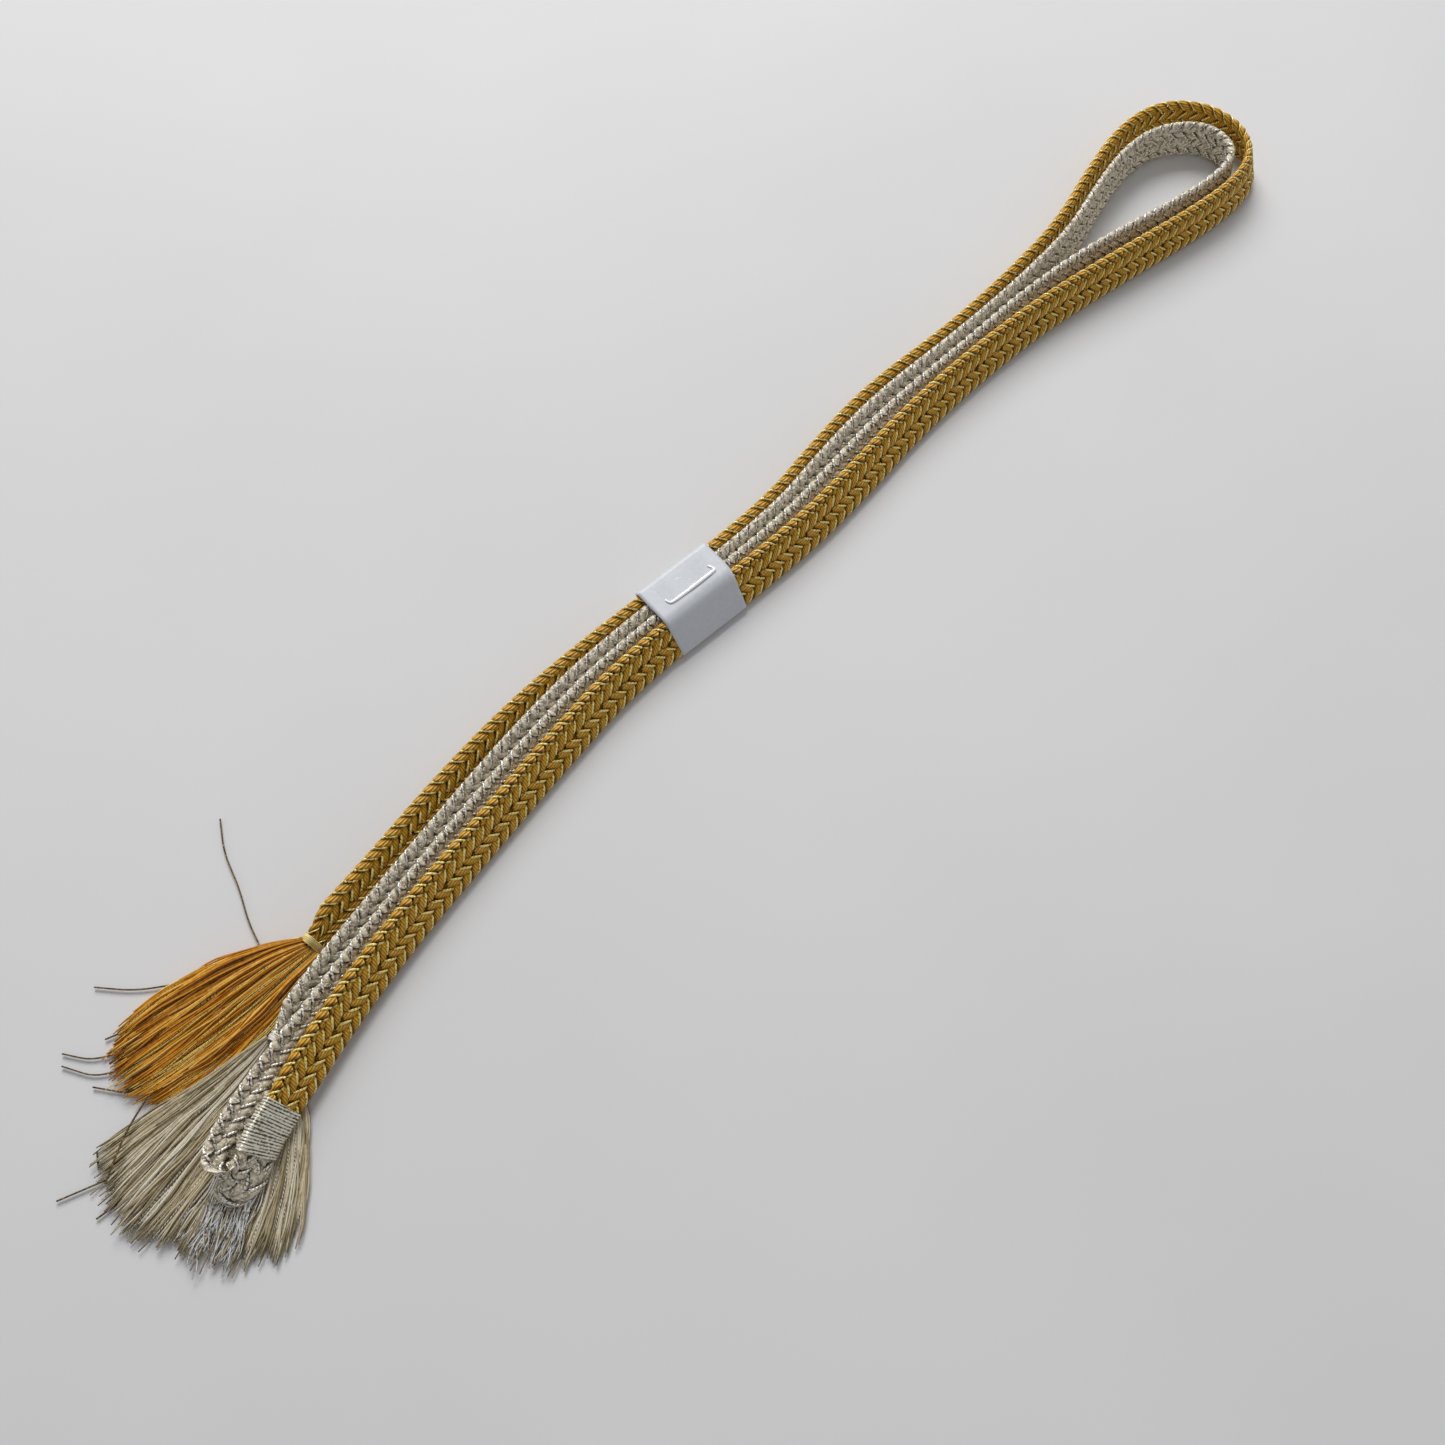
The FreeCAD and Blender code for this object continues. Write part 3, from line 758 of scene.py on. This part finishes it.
def metal_thread_material(name, stops, twist_mm, roughness, metallic):
    """Foil wound on a thread: bright flats between dark turns, at the pitch of its twist, painted as
    highlight and shade.

    The colour is read from a sine of the way round plus the distance along over the pitch, with
    the foil's crumple and the shade attribute added. On the braid's threads that attribute is
    painted shade at their sides; on windings and tassels it is a tone that differs at random. The
    palest stops stand in for the foil's shine, as painted highlight on a shader only partly
    metallic.
    """
    material, tree, shader = blank(name)
    uv = add(tree, "ShaderNodeUVMap", uv_map="UVMap")
    parts = add(tree, "ShaderNodeSeparateXYZ", {"Vector": (uv, "UV")})
    turn = add(tree, "ShaderNodeMath", {0: (parts, "Y"), 1: 1 / twist_mm, 2: (parts, "X")},
               operation="MULTIPLY_ADD")
    lines = add(tree, "ShaderNodeMath", {0: (turn, "Value"), 1: 2 * math.pi},
                operation="MULTIPLY")
    wave = add(tree, "ShaderNodeMath", {0: (lines, "Value")}, operation="SINE")
    place = add(tree, "ShaderNodeTexCoord")
    crumple = add(tree, "ShaderNodeTexNoise", {"Vector": (place, "Object"), "Detail": 2.0,
                                               "Scale": FOIL_CRUMPLES})
    mixed = add(tree, "ShaderNodeMath", {0: (wave, "Value"), 1: TURN_SHARE, 2: (crumple, "Fac")},
                operation="MULTIPLY_ADD")
    # Painted shade on the braid's foil threads, a random tone on windings and tassels
    own = add(tree, "ShaderNodeAttribute", attribute_name="shade")
    lit = add(tree, "ShaderNodeMath", {0: (own, "Fac"), 1: THREAD_SHADE_SHARE,
                                       2: (mixed, "Value")}, operation="MULTIPLY_ADD")
    colour = add(tree, "ShaderNodeValToRGB", {"Fac": (lit, "Value")}, stops)
    relief = add(tree, "ShaderNodeBump", {"Height": (mixed, "Value"), "Strength": FOIL_BUMP,
                                          "Distance": RELIEF})
    tree.links.new(colour.outputs["Color"], shader.inputs["Base Color"])
    tree.links.new(relief.outputs["Normal"], shader.inputs["Normal"])
    shader.inputs["Metallic"].default_value = metallic
    shader.inputs["Roughness"].default_value = roughness
    return material


# How close the fibre lines of a loose yarn stand, for one turn round it and for a millimetre along
# it, before the noise's own scale
FIBRE_STRETCH = (3.0, 0.35, 1.0)
FIBRE_SCALE = 2.2

# How much the fibre lines weigh against the yarn's shade, the middle that is taken off again, and
# how deep the lines are
FIBRE_SHARE, FIBRE_MIDDLE, FIBRE_BUMP = 0.5, 0.25, 0.4


def tassel_material(name, stops, roughness):
    """Loose silk: each yarn has its own shade, and fine lines of fibre run along it.

    The colour is read from the yarn's shade plus a share of a noise stretched along the yarn.
    """
    material, tree, shader = blank(name)
    own = add(tree, "ShaderNodeAttribute", attribute_name="shade")
    uv = add(tree, "ShaderNodeUVMap", uv_map="UVMap")
    long = add(tree, "ShaderNodeMapping", {"Vector": (uv, "UV"), "Scale": FIBRE_STRETCH})
    fibre = add(tree, "ShaderNodeTexNoise", {"Vector": (long, "Vector"), "Scale": FIBRE_SCALE,
                                             "Detail": 3.0})
    mixed = add(tree, "ShaderNodeMath", {0: (fibre, "Fac"), 1: FIBRE_SHARE, 2: (own, "Fac")},
                operation="MULTIPLY_ADD")
    shift = add(tree, "ShaderNodeMath", {0: (mixed, "Value"), 1: FIBRE_MIDDLE},
                operation="SUBTRACT")
    colour = add(tree, "ShaderNodeValToRGB", {"Fac": (shift, "Value")}, stops)
    relief = add(tree, "ShaderNodeBump", {"Height": (fibre, "Fac"), "Strength": FIBRE_BUMP,
                                          "Distance": RELIEF})
    tree.links.new(colour.outputs["Color"], shader.inputs["Base Color"])
    tree.links.new(relief.outputs["Normal"], shader.inputs["Normal"])
    shader.inputs["Roughness"].default_value = roughness
    return material


def sheet_material(name, stops, patches, detail, finish, tooth=0.0):
    """A smooth sheet: a faint noise in its tint and, where it has a tooth, in its relief.

    Patches is how many patches of the noise a metre holds, and finish is the shader's settings.
    """
    material, tree, shader = blank(name)
    place = add(tree, "ShaderNodeTexCoord")
    grain = add(tree, "ShaderNodeTexNoise", {"Vector": (place, "Object"), "Scale": patches,
                                             "Detail": detail})
    tint = add(tree, "ShaderNodeValToRGB", {"Fac": (grain, "Fac")}, stops)
    tree.links.new(tint.outputs["Color"], shader.inputs["Base Color"])
    if tooth:
        relief = add(tree, "ShaderNodeBump", {"Height": (grain, "Fac"), "Strength": tooth,
                                              "Distance": RELIEF / 2})
        tree.links.new(relief.outputs["Normal"], shader.inputs["Normal"])
    for setting, value in finish.items():
        shader.inputs[setting].default_value = value
    return material


def paint(piece, material):
    """The piece's one material."""
    piece.data.materials.clear()
    piece.data.materials.append(material)


# ---------------------------------------------------------------- the floor, light and camera

CAMERA_PLACE = (-0.1489, -0.1353, 0.3496)
CAMERA_HEADING = 42.05
CAMERA_PITCH = 66.0
CAMERA_LENS = 36.12
CAMERA_SENSOR = 36.0
CAMERA_NEAR = 0.01

FLOOR_HALF = 3.0
SKY_COLOUR = "#F2F4F7"
SKY_STRENGTH = 0.35
LAMP_PLACE = (1.0, 1.3, 1.4)
LAMP_SIZE = 1.2
LAMP_POWER = 41.0


def make_camera():
    """Camera above the tassel end, looking along the hank and steeply down."""
    data = bpy.data.cameras.new("camera")
    data.lens = CAMERA_LENS
    data.sensor_width = CAMERA_SENSOR
    data.clip_start = CAMERA_NEAR
    camera = bpy.data.objects.new("camera", data)
    bpy.context.scene.collection.objects.link(camera)
    camera.location = CAMERA_PLACE
    camera.rotation_euler = (math.radians(90 - CAMERA_PITCH), 0, math.radians(CAMERA_HEADING - 90))
    bpy.context.scene.camera = camera
    bpy.context.scene.view_settings.view_transform = "Standard"


def make_studio():
    """Pale table top, an even sky and a soft light from the +X and +Y side."""
    corners = FLOOR_HALF * np.array([(-1, -1, 0), (1, -1, 0), (1, 1, 0), (-1, 1, 0)])
    floor = new_piece("floor", corners, [np.array([[0, 1, 2, 3]])])
    # Painted board, sanded flat: an even, matt off-white, only faintly cloudy
    paint(floor, sheet_material("matte_table_board", [(0.3, "#DCDBDB"), (0.7, "#E2E1E1")],
                                patches=6.0, detail=6.0, finish={"Roughness": 0.7}))
    world = bpy.data.worlds.new("sky")
    bpy.context.scene.world = world
    world.use_nodes = True
    sky = world.node_tree.nodes["Background"]
    sky.inputs["Color"].default_value = linear(SKY_COLOUR)
    sky.inputs["Strength"].default_value = SKY_STRENGTH
    data = bpy.data.lights.new("window", "AREA")
    data.size = LAMP_SIZE
    data.energy = LAMP_POWER
    lamp = bpy.data.objects.new("window", data)
    bpy.context.scene.collection.objects.link(lamp)
    lamp.location = LAMP_PLACE
    aim = -np.array(LAMP_PLACE)
    lamp.rotation_euler = (math.acos(-aim[2] / np.linalg.norm(aim)), 0,
                           math.atan2(aim[1], aim[0]) - math.pi / 2)


# ---------------------------------------------------------------- the finishes

# Dyed silk, reeled, thrown and braided: soft satin bands, light on the strands' faces, with painted
# brown shade at their edges and in the grooves between plies.
# A real strand has some tens of yarns, drawn here as seven coarser plies
gold_silk = yarn_material(
    "mustard_silk_braid",
    [(0.22, "#321802"), (0.44, "#A56E08"), (0.62, "#DCA018"), (0.84, "#FFD040")],
    plies=7, roughness=0.42, bump=1.0)

# Pale gold foil, lacquered on paper, slit and wound on a core: yellow sparks along each strand,
# painted highlights on a shader that is barely metallic. The real turns are finer, and are drawn 0.9
# mm apart
gold_foil = metal_thread_material(
    "pale_gold_foil_thread", [(0.32, "#84560A"), (0.48, "#F6CC3E"), (0.68, "#FFF09C")],
    twist_mm=0.9, roughness=0.24, metallic=0.12)

# Grey-beige silk reeled with fine metal fibre and braided: a dull warm grey with painted shade at
# the strands' edges, and pale sparks that are painted glints
silver_silk = yarn_material(
    "grey_beige_lame_braid", [(0.24, "#322A1A"), (0.46, "#A09076"), (0.72, "#E2D5BA")],
    plies=2, roughness=0.36, bump=0.6, sparkles=True)

# Silver foil, slit and wound on a core: painted white glints with painted grey-brown shade between.
# The turns are drawn 0.9 mm apart, which is coarser than the real ones
silver_foil = metal_thread_material(
    "silver_lame_thread", [(0.42, "#7C7058"), (0.60, "#EAE2CE"), (0.78, "#FFFDF4")],
    twist_mm=0.9, roughness=0.27, metallic=0.3)

# The same foil thread, wound side by side round the cord: each thread a smooth line of painted
# highlight with a painted dark edge, so its own turns are drawn 9 mm apart to leave the line
# unbroken
whip_foil = metal_thread_material(
    "silver_whipping_foil", [(0.36, "#5A4E38"), (0.56, "#BEB298"), (0.76, "#FFFCEE")],
    twist_mm=9.0, roughness=0.28, metallic=0.4)

# Foil threads let loose by the cut: flat, bright and crinkled, with painted flashes of highlight in
# turns 6 mm apart
tinsel = metal_thread_material(
    "silver_tassel_tinsel", [(0.3, "#6E6658"), (0.5, "#DAD6CC"), (0.7, "#FFFFFF")],
    twist_mm=6.0, roughness=0.26, metallic=0.4)

# Foil thread gone dull, wound on a core: thin brown hairs like wire, with a weak shine
stray_foil = metal_thread_material(
    "tarnished_foil_thread", [(0.3, "#3E3222"), (0.55, "#6F5A3A"), (0.8, "#B79A64")],
    twist_mm=1.2, roughness=0.4, metallic=0.5)

# Sewing silk, twisted from two plies and pulled tight: pale gold, softly shiny
gold_thread = yarn_material(
    "pale_gold_binding_thread", [(0.2, "#C9A655"), (0.5, "#F4DE94"), (0.8, "#FFF5C8")],
    plies=2, roughness=0.4)

# The same sewing silk in white, a little duller
white_thread = yarn_material(
    "white_binding_thread", [(0.2, "#C4BEAE"), (0.5, "#EAE6DA"), (0.8, "#FFFFFF")],
    plies=2, roughness=0.5)

# Silk yarn, dyed amber, untwisted and combed out: streaks from brown to pale gold, yarn by yarn at
# random; the darkest are partly painted shade between yarns, the palest partly painted highlight
gold_loose = tassel_material(
    "amber_tassel_silk",
    [(0.15, "#6E3A04"), (0.42, "#CE8812"), (0.65, "#EFAE2E"), (0.9, "#FFDE84")],
    roughness=0.45)

# The same loose silk, left near its natural ivory
pale_loose = tassel_material(
    "ivory_tassel_silk",
    [(0.15, "#80714F"), (0.42, "#B6A684"), (0.65, "#D6C8A8"), (0.9, "#F6EEDC")],
    roughness=0.45)

# Paper, clay-coated and calendered: cool white with a soft gloss and a tooth only just there
paper = sheet_material("gloss_coated_paper", [(0.3, "#CED1D6"), (0.7, "#D7D9DE")],
                       patches=0.9 / MM, detail=4.0, finish={"Roughness": 0.38}, tooth=0.05)

# Polypropylene film, cast and stretched: almost unseen but for its sharp reflection
film = sheet_material("clear_polypropylene_tape", [(0.3, "#EEF1F5"), (0.7, "#F8FAFC")],
                      patches=0.3 / MM, detail=2.0, finish={"Roughness": 0.04, "Alpha": 0.05})

# The same film rolled up at its edge, drawn opaque and white: a painted highlight line, with its own
# sharp reflection on top
curl = sheet_material("tape_edge_painted_highlight", [(0.3, "#FAFBFD"), (0.7, "#FFFFFF")],
                      patches=0.9 / MM, detail=2.0,
                      finish={"Roughness": 0.12, "Specular IOR Level": 1.0})


# ---------------------------------------------------------------- the pieces

make_camera()
make_studio()

gold_line = spline_points(GOLD_ROUTE)
silver_line = spline_points(SILVER_ROUTE)
cord = Ribbon([(gold_line, GOLD_LEAN), (silver_line, SILVER_LEAN)])
gold_yarn, gold_metal = braid_half(cord, "gold_strands", "gold_foil_threads",
                                   (0.0, cord.joint), 1)
silver_yarn, silver_metal = braid_half(cord, "silver_strands", "silver_foil_threads",
                                       (cord.joint, cord.length), -1)

whipping = winding(cord, "whipping_thread", cord.joint - 7.4 * MM, cord.joint + 4.8 * MM,
                   turns=58, radius=0.17 * MM, half_width=5.2 * MM)
gold_tie = winding(cord, "gold_tie_thread", 0.3 * MM, 2.4 * MM,
                   turns=TIE_TURNS, radius=0.24 * MM, half_width=TIE_HALF_WIDTH)
silver_tie = winding(cord, "silver_tie_thread", cord.length - 2.2 * MM, cord.length - 0.3 * MM,
                     turns=TIE_TURNS, radius=0.22 * MM, half_width=TIE_HALF_WIDTH)

# Rows of points across each tassel, from its tie to its cut ends, in millimetres, and the heights
# of its pile at even steps from tie to cut ends, in millimetres too
GOLD_TASSEL_ROWS = (
    [(-146.4, 4.1, 5.6), (-147.0, 2.0, 4.6), (-145.9, -2.6, 2.4)],
    [(-156.0, 12.6, 2.4), (-158.5, 6.0, 2.0), (-158.0, -5.4, 1.2)],
    [(-173.0, 21.8, 0.5), (-178.0, 9.0, 0.6), (-178.0, -7.5, 0.4)],
    [(-189.0, 22.4, 0.4), (-194.6, 18.6, 0.4), (-197.4, 12.5, 0.4), (-197.2, 6.5, 0.4),
     (-194.6, -2.0, 0.4)],
)
GOLD_TASSEL_HEIGHTS = (
    [2.2, 2.2, 1.6],
    [3.6, 4.4, 2.6],
    [3.6, 4.8, 2.8],
    [2.8, 3.8, 2.2],
    [1.2, 2.4, 1.4],
)
SILVER_TASSEL_ROWS = (
    [(-167.8, -7.9, 7.4), (-168.3, -9.8, 5.0), (-168.8, -12.2, 2.0)],
    [(-177.5, -5.0, 4.0), (-181.0, -10.0, 1.6), (-182.0, -17.0, 0.3), (-181.0, -22.5, 0.3),
     (-172.0, -21.0, 0.3), (-167.5, -19.5, 0.3)],
    [(-192.5, -0.5, 0.4), (-198.0, -8.5, 0.4), (-199.5, -19.0, 0.3), (-197.5, -28.0, 0.3),
     (-188.0, -34.0, 0.3), (-176.5, -32.5, 0.3)],
    [(-212.0, 3.4, 0.4), (-214.6, -3.2, 0.4), (-217.0, -9.0, 0.4), (-217.4, -15.0, 0.4),
     (-215.6, -21.0, 0.4), (-213.2, -27.5, 0.4), (-210.6, -33.4, 0.4), (-207.7, -38.0, 0.4),
     (-203.1, -41.0, 0.4), (-199.0, -43.2, 0.4), (-194.2, -45.8, 0.4)],
)
SILVER_TASSEL_HEIGHTS = (
    [1.0, 0.8, 0.4, 0.4, 0.3, 0.3],
    [2.4, 2.2, 1.3, 1.1, 1.1, 1.1],
    [3.0, 2.8, 1.5, 1.2, 1.3, 1.3],
    [2.6, 3.0, 2.6, 2.0, 1.7, 1.4],
    [1.2, 1.8, 2.0, 1.6, 1.2, 0.9],
)
SILVER_FOIL_RAISE = 0.7

gold_tassel = tassel_yarns("gold_tassel_yarns", GOLD_TASSEL_ROWS, GOLD_TASSEL_HEIGHTS,
                           random.uniform(0, 1, 760), clumps=60, radius=0.24 * MM)
gold_tassel_foil = tassel_yarns("gold_tassel_foil", GOLD_TASSEL_ROWS, GOLD_TASSEL_HEIGHTS,
                                random.uniform(0, 1, 190), clumps=90, radius=0.12 * MM)

# The pale tassel is dense towards +Y, thin where the bright foil lies and middling towards -Y
pale_places = [random.uniform(0, 0.56, 560), random.uniform(0.56, 0.74, 50),
               random.uniform(0.74, 1, 170)]
silver_tassel = tassel_yarns("silver_tassel_yarns", SILVER_TASSEL_ROWS, SILVER_TASSEL_HEIGHTS,
                             np.concatenate(pale_places), clumps=62, radius=0.24 * MM)
silver_tassel_foil = tassel_yarns("silver_tassel_foil", SILVER_TASSEL_ROWS, SILVER_TASSEL_HEIGHTS,
                                  random.uniform(0, 1, 110), clumps=90, radius=0.14 * MM)

# The bright foil at the middle of the pale tassel lies on top of the silk and is the most crinkled
raised = [[height + SILVER_FOIL_RAISE for height in row] for row in SILVER_TASSEL_HEIGHTS]
silver_tassel_glitter = tassel_yarns("silver_tassel_glitter", SILVER_TASSEL_ROWS, raised,
                                     random.uniform(0.48, 0.70, 130), clumps=60,
                                     radius=0.2 * MM, points=GLITTER_RINGS, swing=3.4)

band = paper_sleeve()
tape = tape_film()
tape_curl = tape_edge()

# Each piece with its body, its finish, its slot and the node that it stands for
PIECES = (
    (gold_yarn, "cord", gold_silk, "gold_braid", "gold_braid"),
    (gold_metal, "cord", gold_foil, "gold_braid", None),
    (silver_yarn, "cord", silver_silk, "silver_braid", "silver_braid"),
    (silver_metal, "cord", silver_foil, "silver_braid", None),
    (whipping, "cord", whip_foil, "silver_lame_thread", "centre_whipping"),
    (gold_tie, "cord", gold_thread, "pale_gold_thread", "gold_end_tie"),
    (silver_tie, "cord", white_thread, "white_thread", "silver_end_tie"),
    (gold_tassel, "cord", gold_loose, "gold_silk", "gold_tassel"),
    (gold_tassel_foil, "cord", gold_foil, "gold_silk", None),
    (silver_tassel, "cord", pale_loose, "pale_silk", "silver_tassel"),
    (silver_tassel_foil, "cord", silver_foil, "pale_silk", None),
    (silver_tassel_glitter, "cord", tinsel, "pale_silk", None),
    (band, "band", paper, "coated_paper", "paper_band"),
    (tape, "band", film, "clear_tape", "clear_tape"),
    (tape_curl, "band", curl, "clear_tape", None),
)
for piece, body, material, slot, node in PIECES:
    paint(piece, material)
    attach(piece, body)
    if node:
        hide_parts(node)
for node in ("gold_stray_threads", "silver_stray_threads"):
    paint(bpy.data.objects[node], stray_foil)
